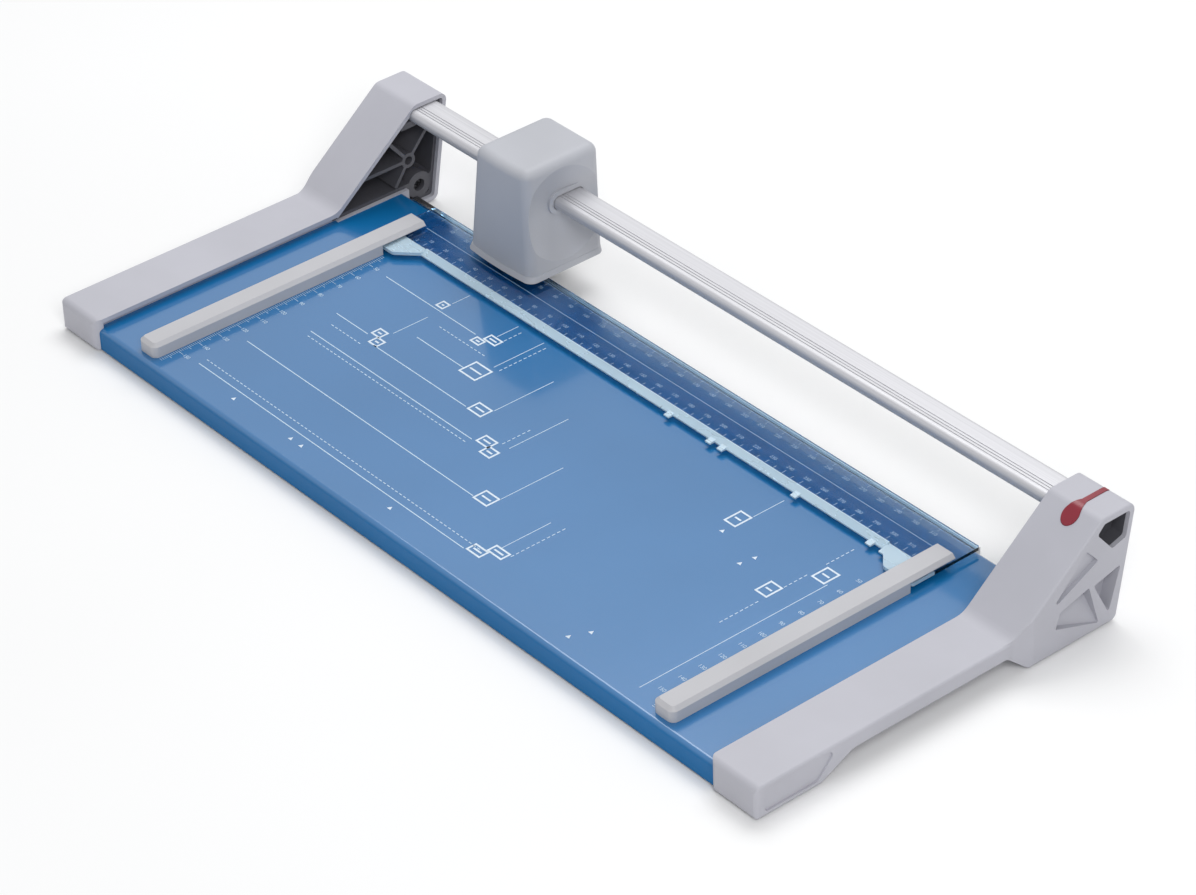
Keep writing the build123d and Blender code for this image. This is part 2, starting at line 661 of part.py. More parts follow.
def cover_screws():
    """A screw in the large boss of each bracket, seen from the table's side."""
    seat = CAP_IN + BRACKET_INSET + 2 * SCREW_HEAD_HEIGHT
    length = CAVITY_X - seat + cover_screw_grip() - SCREW_SPARE / 2
    y, z = large_boss()
    return group(both_sides(pan_screw(Pos(seat, y, z) * Rot(0, -90, 0), length)))


def rail_screws():
    """One screw through each bracket's web into the end of the rail."""
    screw = pan_screw(Pos(CAVITY_X, RAIL_Y, RAIL_Z) * Rot(0, 90, 0), CAVITY_X - CAP_IN - SCREW_SPARE)
    return group(both_sides(screw))


def inlay_prism(clearance):
    """Plan view of the red insert, as a tall prism: a round bulb on the slope and a tail to the back."""
    x = (CAP_IN + CAP_OUT) / 2 + INLAY_SHIFT
    bulb_y = CREST_Y - INLAY_BULB
    neck_y = bulb_y + 2 * INLAY_BULB
    tail_y = BACK_TOP_Y - INLAY_TAIL
    bulb = Pos(x, bulb_y) * Circle(INLAY_BULB + clearance)
    neck = make_face(Polyline(
        (x - INLAY_BULB * 0.9 - clearance, bulb_y + INLAY_BULB * 0.4),
        (x - INLAY_TAIL / 2 - clearance, neck_y),
        (x + INLAY_TAIL / 2 + clearance, neck_y),
        (x + INLAY_BULB * 0.9 + clearance, bulb_y + INLAY_BULB * 0.4),
        close=True,
    ))
    tail_length = tail_y - bulb_y + clearance
    tail = Pos(x, bulb_y + tail_length / 2) * Rectangle(INLAY_TAIL + 2 * clearance, tail_length)
    lowest = RISER_TOP - 2 * INLAY_BULB
    return slab_z(bulb + neck + tail, lowest, RISER_TOP + INLAY_BULB)


def inlay_core():
    """The cap's outline sunk by the depth of the insert: the floor of its recess."""
    return slab_x(offset(cap_outline(), -INLAY_DEPTH), CAP_IN - 1, CAP_OUT + 1)


def red_inlay():
    proud = slab_x(offset(cap_outline(), INLAY_PROUD), CAP_IN, CAP_OUT)
    return (inlay_prism(0) & proud) - inlay_core()


def inlay_recess():
    return inlay_prism(SEAT) - inlay_core()


# Cutting head
def head_half_width(z):
    """Half the width of the head's outside at height z."""
    share = (z - HEAD_BOTTOM) / (HEAD_TOP - HEAD_BOTTOM)
    return (HEAD_WIDTH + (HEAD_TOP_WIDTH - HEAD_WIDTH) * share) / 2


def head_section(width, front, back, bow, corner, z):
    """A level slice of the head: a rounded rectangle with a swelling front."""
    left = HEAD_X - width / 2
    right = HEAD_X + width / 2
    face = make_face([
        ThreePointArc((left, front), (HEAD_X, front - bow), (right, front)),
        Line((right, front), (right, back)),
        Line((right, back), (left, back)),
        Line((left, back), (left, front)),
    ])
    return Pos(0, 0, z) * fillet(face.vertices(), corner)


def inner_share(z):
    """Height z as a share of the hollow inside the hood, which runs out through the bottom."""
    start = HEAD_BOTTOM - 1
    return (z - start) / (HEAD_TOP - HEAD_WALL - start)


def inner_half_width(z):
    """Half the width of the hollow inside the hood at height z."""
    low = HEAD_WIDTH / 2 - HEAD_SIDE_WALL
    high = HEAD_TOP_WIDTH / 2 - HEAD_SIDE_TOP_WALL
    return low + (high - low) * inner_share(z)


def head_housing():
    """Drafted hood with dished sides, a flared foot, a collar round the rail and an open bottom."""
    front = -HEAD_FRONT + HEAD_BOW
    high_front = front + HEAD_DRAFT
    high_back = HEAD_BACK + HEAD_LEAN
    low = head_section(HEAD_WIDTH, front, HEAD_BACK, HEAD_BOW, HEAD_CORNER, HEAD_BOTTOM)
    high = head_section(HEAD_TOP_WIDTH, high_front, high_back, HEAD_BOW, HEAD_CORNER, HEAD_TOP)
    hood = loft([low, high], ruled=True)
    hood = fillet(hood.faces().sort_by(Axis.Z)[-1].edges(), HEAD_TOP_ROUND)
    sphere = (DISH_RADIUS ** 2 + DISH_DEPTH ** 2) / (2 * DISH_DEPTH)
    floor = head_half_width(RAIL_Z) - DISH_DEPTH
    dish_y = (HEAD_BACK - HEAD_FRONT) / 2 + DISH_BACK
    for side in (-1, 1):
        hood -= Pos(HEAD_X + side * (floor + sphere), dish_y, RAIL_Z) * Sphere(sphere)
    flare = head_section(
        HEAD_WIDTH + 2 * HEAD_LIP, front - HEAD_LIP, HEAD_BACK, HEAD_BOW, HEAD_CORNER, HEAD_BOTTOM)
    hood += loft([flare, Pos(0, 0, HEAD_LIP_HEIGHT) * low], ruled=True)
    corner = HEAD_CORNER - HEAD_WALL
    low_in = head_section(
        2 * inner_half_width(HEAD_BOTTOM - 1), front + HEAD_WALL, HEAD_BACK - HEAD_WALL, HEAD_BOW, corner,
        HEAD_BOTTOM - 1)
    high_in = head_section(
        2 * inner_half_width(HEAD_TOP - HEAD_WALL), high_front + HEAD_WALL, high_back - HEAD_WALL, HEAD_BOW,
        corner, HEAD_TOP - HEAD_WALL)
    hood -= loft([low_in, high_in], ruled=True)
    ring = rail_outline(SLIP + COLLAR)
    for side in (-1, 1):
        start = HEAD_X + side * (carrier_half() + SLIP)
        end = HEAD_X + side * (floor + COLLAR_PROUD)
        hood += slab_x(ring, min(start, end), max(start, end))
    hood -= slab_x(rail_outline(SLIP), HEAD_X - HEAD_WIDTH, HEAD_X + HEAD_WIDTH)
    for place in head_screw_places():
        hood -= place * Cylinder(SCREW_RADIUS + SEAT, 4 * HEAD_WALL)
    return hood


def carrier_top():
    return RAIL_TOP + BUSH_WALL + CARRIER_WALL


def carrier_half():
    """Half the width of the carrier, which just passes the hollow of the hood at its top."""
    return inner_half_width(carrier_top()) - SLIP


def carrier_back():
    """Rear face of the carrier, just inside the foot of the hood's back."""
    return HEAD_BACK - HEAD_WALL - SLIP


def bush_outline(clearance=0.0):
    section = RectangleRounded(
        RAIL_WIDTH + 2 * (BUSH_WALL + clearance), RAIL_HEIGHT + 2 * (BUSH_WALL + clearance), RAIL_EDGE)
    return Pos(RAIL_Y, RAIL_Z) * section


def web_front():
    """Front face of the carrier's web, behind the blade, its hub and the spring."""
    return BLADE_GAP + BLADE_THICKNESS + HUB_LENGTH + SPRING_HEIGHT + SEAT


def head_carrier():
    """Frame inside the head: web, floor, back plate, and the sleeve that holds the two bushes."""
    front = web_front()
    back = carrier_back()
    top = carrier_top()
    shelf = RAIL_BOTTOM - BUSH_WALL - CARRIER_WALL
    sleeve_front = min(front, RAIL_FRONT_Y - BUSH_WALL - CARRIER_WALL)
    left = HEAD_X - carrier_half()
    right = HEAD_X + carrier_half()
    frame = block(left, right, front, back, GUARD_TOP, top)
    frame += block(left, right, sleeve_front, back, shelf, top)
    frame = fillet(frame.edges().filter_by(Axis.Z).group_by(Axis.Y)[-1], HEAD_CORNER / 2)
    hollow_front = front + CARRIER_WALL
    hollow_back = back - CARRIER_WALL
    frame -= block(left - 1, right + 1, hollow_front, hollow_back, GUARD_TOP + CARRIER_WALL, shelf)
    frame -= slab_x(rail_outline(SLIP), left - 1, right + 1)
    frame -= slab_x(bush_outline(SEAT), left - 1, left + BUSH_LENGTH)
    frame -= slab_x(bush_outline(SEAT), right - BUSH_LENGTH, right + 1)
    frame -= rod_y(AXLE_RADIUS + SEAT, HEAD_X, BLADE_Z, front - 1, front + CARRIER_WALL + 1)
    axle_head = front + CARRIER_WALL
    frame -= rod_y(SCREW_HEAD + SEAT, HEAD_X, BLADE_Z, axle_head, axle_head + SCREW_HEAD_HEIGHT + SLIP)
    for place in head_screw_places():
        frame -= place * Cylinder(SCREW_RADIUS + SEAT, 6 * HEAD_WALL)
    for place in guard_screw_places():
        frame -= place * Cylinder(SCREW_RADIUS + SEAT, 2 * (GUARD_THICKNESS + CARRIER_WALL) + 1)
    return frame


def slide_bushes():
    """Two plain bushes that run on the rail."""
    ring = bush_outline() - rail_outline(BUSH_FIT)
    end = carrier_half()
    left = slab_x(ring, HEAD_X - end, HEAD_X - end + BUSH_LENGTH)
    right = slab_x(ring, HEAD_X + end - BUSH_LENGTH, HEAD_X + end)
    return group([left, right])


def head_screw_places():
    """Two screws through the back of the hood into the carrier's back plate, facing back."""
    low = GUARD_TOP + 3 * SCREW_HEAD
    high = RAIL_BOTTOM - BUSH_WALL - CARRIER_WALL - 2 * SCREW_HEAD
    places = []
    for z in (low, high):
        share = (z + SCREW_HEAD - HEAD_BOTTOM) / (HEAD_TOP - HEAD_BOTTOM)
        places.append(Pos(HEAD_X, HEAD_BACK + HEAD_LEAN * share, z) * Rot(-90, 0, 0))
    return places


def head_screws():
    tip = carrier_back() - CARRIER_WALL + SCREW_SPARE / 2
    return group([pan_screw(place, place.position.Y - tip) for place in head_screw_places()])


def guard_window():
    """Where the blade and its hub reach down through the guard."""
    front = axle_nose()
    back = BLADE_GAP + BLADE_THICKNESS + HUB_LENGTH + SLIP
    length = 2 * (BLADE_RADIUS + WINDOW_SPARE)
    return Pos(HEAD_X, (front + back) / 2) * SlotOverall(length, back - front)


def guard_screw_places():
    """Screws up through the guard into the carrier's floor, facing down."""
    y = (web_front() + carrier_back()) / 2
    reach = carrier_half() * GUARD_SCREW_SHARE
    return [Pos(HEAD_X + side * reach, y, GUARD_BOTTOM) * Rot(180, 0, 0) for side in (-1, 1)]


def blade_guard():
    """Bottom plate of the head, with the blade's window."""
    front = -HEAD_FRONT + HEAD_BOW + HEAD_WALL + HEAD_DRAFT * inner_share(GUARD_TOP) + SEAT
    back = HEAD_BACK - HEAD_WALL - SEAT
    width = 2 * (inner_half_width(GUARD_TOP) - SEAT)
    section = head_section(width, front, back, HEAD_BOW, HEAD_CORNER - HEAD_WALL, 0)
    plate = slab_z(section, GUARD_BOTTOM, GUARD_TOP)
    plate -= slab_z(guard_window(), GUARD_BOTTOM - 1, GUARD_TOP + 1)
    for place in guard_screw_places():
        plate -= place * Cylinder(SCREW_RADIUS + SEAT, 4 * GUARD_THICKNESS)
    return plate


def guard_screws():
    length = GUARD_THICKNESS + CARRIER_WALL - SCREW_SPARE / 2
    return group([pan_screw(place, length) for place in guard_screw_places()])


def press_shoe():
    """Runner under the front of the head, with run-up ends, that rides on the press strip."""
    low = STRIP_TOP + SLIP
    half = SHOE_WIDTH / 2
    side_view = make_face(Polyline(
        (HEAD_X - half, GUARD_BOTTOM),
        (HEAD_X - half, GUARD_BOTTOM - SHOE_EDGE),
        (HEAD_X - half + SHOE_RUNUP, low),
        (HEAD_X + half - SHOE_RUNUP, low),
        (HEAD_X + half, GUARD_BOTTOM - SHOE_EDGE),
        (HEAD_X + half, GUARD_BOTTOM),
        close=True,
    ))
    return extrude(Pos(0, -SHOE_FRONT, 0) * Rot(90, 0, 0) * side_view, amount=SHOE_DEPTH, dir=(0, 1, 0))


def turned(profile):
    """A (radius, y) profile turned about the blade's axis."""
    face = make_face(Polyline(*profile, close=True))
    return Pos(HEAD_X, 0, BLADE_Z) * revolve(face, axis=Axis.Y)


def round_blade():
    """Disc ground to an edge on its front face, which runs beside the fixed blade."""
    front = BLADE_GAP
    back = BLADE_GAP + BLADE_THICKNESS
    bore = HUB_BOSS + SEAT
    return turned([
        (bore, front), (BLADE_RADIUS, front), (BLADE_RADIUS, front + BLADE_THICKNESS * 0.15),
        (BLADE_RADIUS - BLADE_BEVEL, back), (bore, back),
    ])


def blade_hub():
    """Hub: a flange behind the blade and a nose through it."""
    blade_back = BLADE_GAP + BLADE_THICKNESS
    bore = AXLE_RADIUS + AXLE_FIT
    return turned([
        (bore, BLADE_GAP - HUB_NOSE), (HUB_BOSS, BLADE_GAP - HUB_NOSE), (HUB_BOSS, blade_back),
        (HUB_RADIUS, blade_back), (HUB_RADIUS, blade_back + HUB_LENGTH), (bore, blade_back + HUB_LENGTH),
    ])


def blade_spring():
    """Dished washer between the hub and the carrier's web."""
    start = BLADE_GAP + BLADE_THICKNESS + HUB_LENGTH + SEAT
    end = start + SPRING_HEIGHT - SEAT
    bore = AXLE_RADIUS + SLIP
    return turned([
        (bore, end - SPRING_WIRE), (SPRING_RADIUS, start), (SPRING_RADIUS, start + SPRING_WIRE), (bore, end),
    ])


def axle_nose():
    """Front end of the hub, where the axle's clip lies."""
    return BLADE_GAP - HUB_NOSE - SEAT


def blade_axle():
    """Shoulder pin through the carrier's web, grooved for its clip."""
    head_back = web_front() + CARRIER_WALL
    nose = axle_nose() - CLIP_THICKNESS - SCREW_SPARE
    groove = AXLE_RADIUS * AXLE_GROOVE
    return turned([
        (0, nose), (AXLE_RADIUS, nose), (AXLE_RADIUS, axle_nose() - CLIP_THICKNESS),
        (groove, axle_nose() - CLIP_THICKNESS), (groove, axle_nose()), (AXLE_RADIUS, axle_nose()),
        (AXLE_RADIUS, head_back), (SCREW_HEAD, head_back), (SCREW_HEAD, head_back + SCREW_HEAD_HEIGHT),
        (0, head_back + SCREW_HEAD_HEIGHT),
    ])


def axle_clip():
    """Open retaining ring in the axle's groove."""
    inner = AXLE_RADIUS * AXLE_GROOVE + SEAT / 2
    front = axle_nose() - CLIP_THICKNESS + SEAT / 2
    back = axle_nose() - SEAT / 2
    ring = turned([(inner, front), (CLIP_RADIUS, front), (CLIP_RADIUS, back), (inner, back)])
    half = inner * AXLE_GROOVE
    return ring - block(HEAD_X - half, HEAD_X + half, front - 1, back + 1, BLADE_Z, BLADE_Z + 2 * CLIP_RADIUS)


right_cover = end_cover()
right_bracket = bracket()

NODES = {
    "base_table": base_table(),
    "counter_blade": counter_blade(),
    "counter_blade_screws": counter_blade_screws(),
    "left_stop_bar": stop_bar(LEFT_BAR),
    "right_stop_bar": stop_bar(RIGHT_BAR),
    "bar_screws": bar_screws(),
    "press_strip": press_strip(),
    "strip_lip": strip_lip(),
    "guide_rail": guide_rail(),
    "rail_screws": rail_screws(),
    "left_end_cover": mirror(right_cover, about=Plane.YZ),
    "right_end_cover": right_cover - inlay_recess(),
    "left_bracket": mirror(right_bracket, about=Plane.YZ),
    "right_bracket": right_bracket,
    "cover_screws": cover_screws(),
    "table_screws": table_screws(),
    "rubber_feet": rubber_feet(),
    "red_inlay": red_inlay(),
    "head_housing": head_housing(),
    "head_carrier": head_carrier(),
    "slide_bushes": slide_bushes(),
    "head_screws": head_screws(),
    "blade_guard": blade_guard(),
    "guard_screws": guard_screws(),
    "press_shoe": press_shoe(),
    "blade_axle": blade_axle(),
    "axle_clip": axle_clip(),
    "blade_spring": blade_spring(),
    "round_blade": round_blade(),
    "blade_hub": blade_hub(),
}

boxes = [shape.bounding_box() for shape in NODES.values()]
low = [min(tuple(box.min)[axis] for box in boxes) for axis in range(3)]
high = [max(tuple(box.max)[axis] for box in boxes) for axis in range(3)]
frame = Pos(-(low[0] + high[0]) / 2, -(low[1] + high[1]) / 2, -low[2])

os.makedirs("parts", exist_ok=True)
for name, shape in NODES.items():
    export_step(frame * shape, f"parts/{name}.step")
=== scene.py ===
import json

import bmesh
import bpy
from mathutils import Matrix, Vector


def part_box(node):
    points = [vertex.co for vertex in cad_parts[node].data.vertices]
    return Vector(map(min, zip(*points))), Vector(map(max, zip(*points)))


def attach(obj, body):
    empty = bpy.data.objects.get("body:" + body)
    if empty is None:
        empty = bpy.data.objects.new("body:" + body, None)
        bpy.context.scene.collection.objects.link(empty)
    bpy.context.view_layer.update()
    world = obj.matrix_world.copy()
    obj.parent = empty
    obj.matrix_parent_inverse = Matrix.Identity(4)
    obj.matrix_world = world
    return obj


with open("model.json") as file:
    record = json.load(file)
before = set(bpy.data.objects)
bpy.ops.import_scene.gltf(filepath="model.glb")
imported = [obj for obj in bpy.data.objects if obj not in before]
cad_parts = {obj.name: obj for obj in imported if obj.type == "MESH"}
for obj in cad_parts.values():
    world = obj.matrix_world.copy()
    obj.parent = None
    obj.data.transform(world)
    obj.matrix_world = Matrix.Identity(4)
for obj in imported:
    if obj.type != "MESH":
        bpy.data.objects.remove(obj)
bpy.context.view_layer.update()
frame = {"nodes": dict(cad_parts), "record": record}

nodes = frame["nodes"]

# The print and the camera are placed in millimetres, from the cutting line and the table top
MM = 0.001
CUT_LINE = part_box("counter_blade")[1].y
TABLE_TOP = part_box("base_table")[1].z


def at(x, y, z):
    """A point of the drawing, in metres of the shared frame."""
    return Vector((x * MM, CUT_LINE + y * MM, TABLE_TOP + z * MM))


def put(name, data):
    """A new object in the scene that holds this data."""
    obj = bpy.data.objects.new(name, data)
    bpy.context.scene.collection.objects.link(obj)
    return obj


# Materials. Noise mostly lies between these two values, so its effects are spread over them
NOISE_LOW = 0.3
NOISE_HIGH = 0.7
PLASTIC_IOR = 1.49


class Surface:
    """A procedural material, with the node set-ups that the finishes share."""

    def __init__(self, name):
        self.mat = bpy.data.materials.new(name)
        self.mat.use_nodes = True
        self.nodes = self.mat.node_tree.nodes
        self.links = self.mat.node_tree.links
        self.shader = self.nodes["Principled BSDF"]

    def fix(self, socket, value):
        """Sets a socket that is the same all over the surface."""
        self.shader.inputs[socket].default_value = value

    def noise(self, scale, detail, stretch=(1, 1, 1)):
        """Noise in object space; stretch above 1 makes it finer along that axis."""
        place = self.nodes.new("ShaderNodeTexCoord")
        mapping = self.nodes.new("ShaderNodeMapping")
        mapping.inputs["Scale"].default_value = stretch
        texture = self.nodes.new("ShaderNodeTexNoise")
        texture.inputs["Scale"].default_value = scale
        texture.inputs["Detail"].default_value = detail
        self.links.new(place.outputs["Object"], mapping.inputs["Vector"])
        self.links.new(mapping.outputs["Vector"], texture.inputs["Vector"])
        return texture.outputs["Fac"]

    def levelness(self):
        """1 on level faces and 0 on upright ones."""
        geometry = self.nodes.new("ShaderNodeNewGeometry")
        split = self.nodes.new("ShaderNodeSeparateXYZ")
        self.links.new(geometry.outputs["True Normal"], split.inputs["Vector"])
        return split.outputs["Z"]

    def spread(self, socket, source, low, high):
        """Lets a source move a socket between two numbers."""
        node = self.nodes.new("ShaderNodeMapRange")
        node.inputs["From Min"].default_value = NOISE_LOW
        node.inputs["From Max"].default_value = NOISE_HIGH
        node.inputs["To Min"].default_value = low
        node.inputs["To Max"].default_value = high
        self.links.new(source, node.inputs["Value"])
        self.links.new(node.outputs["Result"], self.shader.inputs[socket])

    def tint(self, source, dark, light):
        """Lets a source move the colour between two colours."""
        ramp = self.nodes.new("ShaderNodeValToRGB")
        first, last = ramp.color_ramp.elements
        first.position = NOISE_LOW
        first.color = (*dark, 1)
        last.position = NOISE_HIGH
        last.color = (*light, 1)
        self.links.new(source, ramp.inputs["Fac"])
        self.links.new(ramp.outputs["Color"], self.shader.inputs["Base Color"])

    def bump(self, source, strength, distance):
        """Raises the surface by a source; the distance is in metres."""
        node = self.nodes.new("ShaderNodeBump")
        node.inputs["Strength"].default_value = strength
        node.inputs["Distance"].default_value = distance
        self.links.new(source, node.inputs["Height"])
        self.links.new(node.outputs["Normal"], self.shader.inputs["Normal"])


def shade(colour, factor):
    """A colour made darker or lighter."""
    return tuple(min(channel * factor, 1.0) for channel in colour)


def grained_plastic(name, colour, rough):
    """Moulded plastic: a fine eroded grain, faint flow clouds in colour and gloss."""
    surface = Surface(name)
    cloud = surface.noise(scale=22.0, detail=3.0)
    grain = surface.noise(scale=2600.0, detail=2.0)
    surface.tint(cloud, shade(colour, 0.94), shade(colour, 1.05))
    surface.spread("Roughness", cloud, rough - 0.05, rough + 0.06)
    surface.fix("Specular IOR Level", 0.4)
    surface.bump(grain, strength=0.35, distance=0.00004)
    return surface.mat


def enamel(name, colour):
    """Baked enamel on sheet steel: slight orange peel, and a clear coat that shows on level faces."""
    surface = Surface(name)
    cloud = surface.noise(scale=9.0, detail=5.0)
    peel = surface.noise(scale=420.0, detail=2.0)
    level = surface.levelness()
    surface.tint(cloud, shade(colour, 0.95), shade(colour, 1.05))
    surface.spread("Roughness", cloud, 0.20, 0.27)
    surface.spread("Coat Weight", level, 0.05, 0.8)
    surface.spread("Specular IOR Level", level, 0.12, 0.5)
    surface.fix("Coat IOR", 1.6)
    surface.fix("Coat Roughness", 0.09)
    surface.bump(peel, strength=0.10, distance=0.00005)
    return surface.mat


def drawn_metal(name, colour, rough, stretch=(1, 1, 1), scale=240.0, metal=1.0):
    """Metal with fine lines along the direction where stretch is small."""
    surface = Surface(name)
    lines = surface.noise(scale=scale, detail=6.0, stretch=stretch)
    cloud = surface.noise(scale=14.0, detail=3.0)
    surface.fix("Metallic", metal)
    surface.tint(lines, shade(colour, 0.90), shade(colour, 1.06))
    surface.spread("Roughness", cloud, rough - 0.05, rough + 0.07)
    surface.bump(lines, strength=0.25, distance=0.00003)
    return surface.mat


def clear_plastic(name):
    """Clear moulded plastic with a blue cast and faint flow marks."""
    surface = Surface(name)
    flow = surface.noise(scale=30.0, detail=3.0, stretch=(1, 4, 1))
    surface.tint(flow, (0.52, 0.74, 0.90), (0.60, 0.80, 0.94))
    surface.spread("Roughness", flow, 0.03, 0.07)
    surface.fix("Specular IOR Level", 0.3)
    surface.fix("Transmission Weight", 1.0)
    surface.fix("IOR", PLASTIC_IOR)
    surface.bump(flow, strength=0.04, distance=0.0002)
    return surface.mat


def frosted_plastic(name):
    """Clear plastic with a ground surface: pale blue, partly seen through; the pale colour is a painted
    highlight along the clear strip's front edge.
    """
    surface = Surface(name)
    cloud = surface.noise(scale=40.0, detail=4.0, stretch=(1, 3, 1))
    grain = surface.noise(scale=1500.0, detail=2.0)
    # Pale blue-white colour: a painted highlight of the lip along the strip's front edge
    surface.tint(cloud, (0.56, 0.74, 0.87), (0.62, 0.79, 0.90))
    surface.spread("Roughness", cloud, 0.24, 0.30)
    surface.fix("Transmission Weight", 0.35)
    surface.fix("IOR", PLASTIC_IOR)
    surface.bump(grain, strength=0.06, distance=0.00002)
    return surface.mat


def gloss_plastic(name, colour):
    """Glossy moulded plastic, a little cloudy."""
    surface = Surface(name)
    cloud = surface.noise(scale=60.0, detail=4.0)
    grain = surface.noise(scale=1400.0, detail=2.0)
    surface.tint(cloud, shade(colour, 0.88), shade(colour, 1.1))
    surface.spread("Roughness", cloud, 0.22, 0.32)
    surface.bump(grain, strength=0.1, distance=0.00003)
    return surface.mat


def rubber(name, colour):
    """Dull rubber with a coarse grain."""
    surface = Surface(name)
    cloud = surface.noise(scale=120.0, detail=4.0)
    grain = surface.noise(scale=1800.0, detail=3.0)
    surface.tint(cloud, shade(colour, 0.8), shade(colour, 1.4))
    surface.spread("Roughness", cloud, 0.75, 0.9)
    surface.bump(grain, strength=0.4, distance=0.00008)
    return surface.mat


def ink(name, colour):
    """Screen-printed ink, a little uneven in cover."""
    surface = Surface(name)
    cover = surface.noise(scale=700.0, detail=3.0)
    surface.tint(cover, shade(colour, 0.86), shade(colour, 1.05))
    surface.spread("Roughness", cover, 0.44, 0.56)
    return surface.mat


ALONG_RAIL = (0.04, 6, 6)
ALONG_BLADE = (0.05, 5, 5)
FINE_PLATING = 900.0
ANODISED = 0.45

finishes = {
    "blue_paint": enamel("blue_enamel", (0.003, 0.138, 0.365)),
    "cap_grey": grained_plastic("cap_plastic", (0.47, 0.47, 0.52), rough=0.52),
    "head_grey": grained_plastic("head_plastic", (0.455, 0.465, 0.505), rough=0.50),
    "bar_grey": grained_plastic("bar_plastic", (0.48, 0.48, 0.505), rough=0.48),
    "charcoal": grained_plastic("charcoal_plastic", (0.085, 0.085, 0.098), rough=0.45),
    "rail_aluminium": drawn_metal(
        "rail_metal", (0.53, 0.53, 0.555), rough=0.48, stretch=ALONG_RAIL, metal=ANODISED
    ),
    "blade_steel": drawn_metal("ground_steel", (0.66, 0.67, 0.69), rough=0.28, stretch=ALONG_BLADE),
    "screw_steel": drawn_metal("plated_steel", (0.55, 0.55, 0.57), rough=0.32, scale=FINE_PLATING),
    "clear_plastic": clear_plastic("clear_plastic"),
    # The strip's lip: its pale frosted colour is a painted highlight of the clear front edge
    "frosted_plastic": frosted_plastic("frosted_plastic"),
    "black_screw": drawn_metal("black_steel", (0.05, 0.05, 0.055), rough=0.38, scale=FINE_PLATING),
    "red_plastic": gloss_plastic("red_gloss", (0.21, 0.006, 0.020)),
    "bush_white": grained_plastic("bush_plastic", (0.78, 0.78, 0.74), rough=0.45),
    "black_rubber": rubber("black_rubber", (0.022, 0.022, 0.023)),
}

for entry in frame["record"]["subparts"]:
    for slot in nodes[entry["node"]].material_slots:
        slot.material = finishes[entry["material_slot"]]


# Print: flat ink a few hundredths of a millimetre above what carries it
INK_HEIGHT = 0.04
LINE = 0.5
CROSS_LINE = 0.4
DOTTED_LINE = 0.45
DASH = 1.6
DASH_GAP = 1.0
TILE_RIM = 0.9


def dashes(start, end):
    """Where each dash of a dotted line starts and ends."""
    pitch = DASH + DASH_GAP
    for k in range(int((end - start) / pitch)):
        yield start + k * pitch, start + k * pitch + DASH


class Print:
    """Collects flat printed shapes at one height, then makes one mesh of them."""

    def __init__(self, name, height, body, mat):
        self.name = name
        self.z = height + INK_HEIGHT
        self.body = body
        self.mat = mat
        self.mesh = bmesh.new()

    def shape(self, corners):
        self.mesh.faces.new([self.mesh.verts.new(at(x, y, self.z)) for x, y in corners])

    def patch(self, x0, y0, x1, y1):
        self.shape([(x0, y0), (x1, y0), (x1, y1), (x0, y1)])

    def line_x(self, x0, x1, y, width):
        self.patch(x0, y - width / 2, x1, y + width / 2)

    def line_y(self, x, y0, y1, width):
        self.patch(x - width / 2, y0, x + width / 2, y1)

    def dots_x(self, x0, x1, y):
        for start, end in dashes(x0, x1):
            self.line_x(start, end, y, DOTTED_LINE)

    def dots_y(self, x, y0, y1):
        for start, end in dashes(y0, y1):
            self.line_y(x, start, end, DOTTED_LINE)

    def tile(self, x, y, width, depth):
        """A small frame round a bar, centred on a point."""
        x0, x1 = x - width / 2, x + width / 2
        y0, y1 = y - depth / 2, y + depth / 2
        self.patch(x0, y0, x1, y0 + TILE_RIM)
        self.patch(x0, y1 - TILE_RIM, x1, y1)
        self.patch(x0, y0 + TILE_RIM, x0 + TILE_RIM, y1 - TILE_RIM)
        self.patch(x1 - TILE_RIM, y0 + TILE_RIM, x1, y1 - TILE_RIM)
        self.patch(x0 + 2 * TILE_RIM, y - TILE_RIM / 2, x1 - 2 * TILE_RIM, y + TILE_RIM / 2)

    def number(self, value, x, y, size):
        """Plain figures, centred on a point and read from the front."""
        text = bpy.data.curves.new("figures", "FONT")
        text.body = str(value)
        text.size = size
        text.align_x = "CENTER"
        text.align_y = "CENTER"
        holder = put("figures", text)
        bpy.context.view_layer.update()
        flat = bpy.data.meshes.new_from_object(holder.evaluated_get(bpy.context.evaluated_depsgraph_get()))
        verts = [self.mesh.verts.new(at(x + v.co.x, y + v.co.y, self.z)) for v in flat.vertices]
        for face in flat.polygons:
            self.mesh.faces.new([verts[k] for k in face.vertices])
        bpy.data.objects.remove(holder)
        bpy.data.curves.remove(text)
        bpy.data.meshes.remove(flat)

    def finish(self):
        """Makes the mesh, with every face looking up, and lets it ride on its body."""
        bmesh.ops.recalc_face_normals(self.mesh, faces=self.mesh.faces[:])
        for face in self.mesh.faces:
            if face.normal.z < 0:
                face.normal_flip()
        data = bpy.data.meshes.new(self.name)
        self.mesh.to_mesh(data)
        self.mesh.free()
        data.materials.append(self.mat)
        obj = put(self.name, data)
        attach(obj, self.body)


pale_ink = ink("pale_ink", (0.50, 0.65, 0.80))
white_ink = ink("white_ink", (0.66, 0.76, 0.86))
faint_ink = ink("faint_ink", (0.26, 0.42, 0.60))

# Inner faces of the two bars, between which the paper lies
PAPER_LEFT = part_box("left_stop_bar")[1].x / MM
PAPER_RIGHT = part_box("right_stop_bar")[0].x / MM

# Paper formats on the table. Lines along the table: y, left end, right end
LONG_LINES = (
    (-149.0, -146.0, 30.0),
    (-124.2, -146.0, 5.0),
    (-99.9, -134.0, -26.0),
    (-87.0, -107.5, -46.0),
    (-83.6, -137.5, -116.0),
    (-69.9, -100.0, -69.0),
    (-50.5, -146.0, -85.0),
)
LONG_DOTTED = (
    (-144.9, -146.0, 36.0),
    (-103.0, -132.0, -25.0),
    (-90.5, -132.0, -109.0),
    (-58.0, -100.0, -67.5),
)
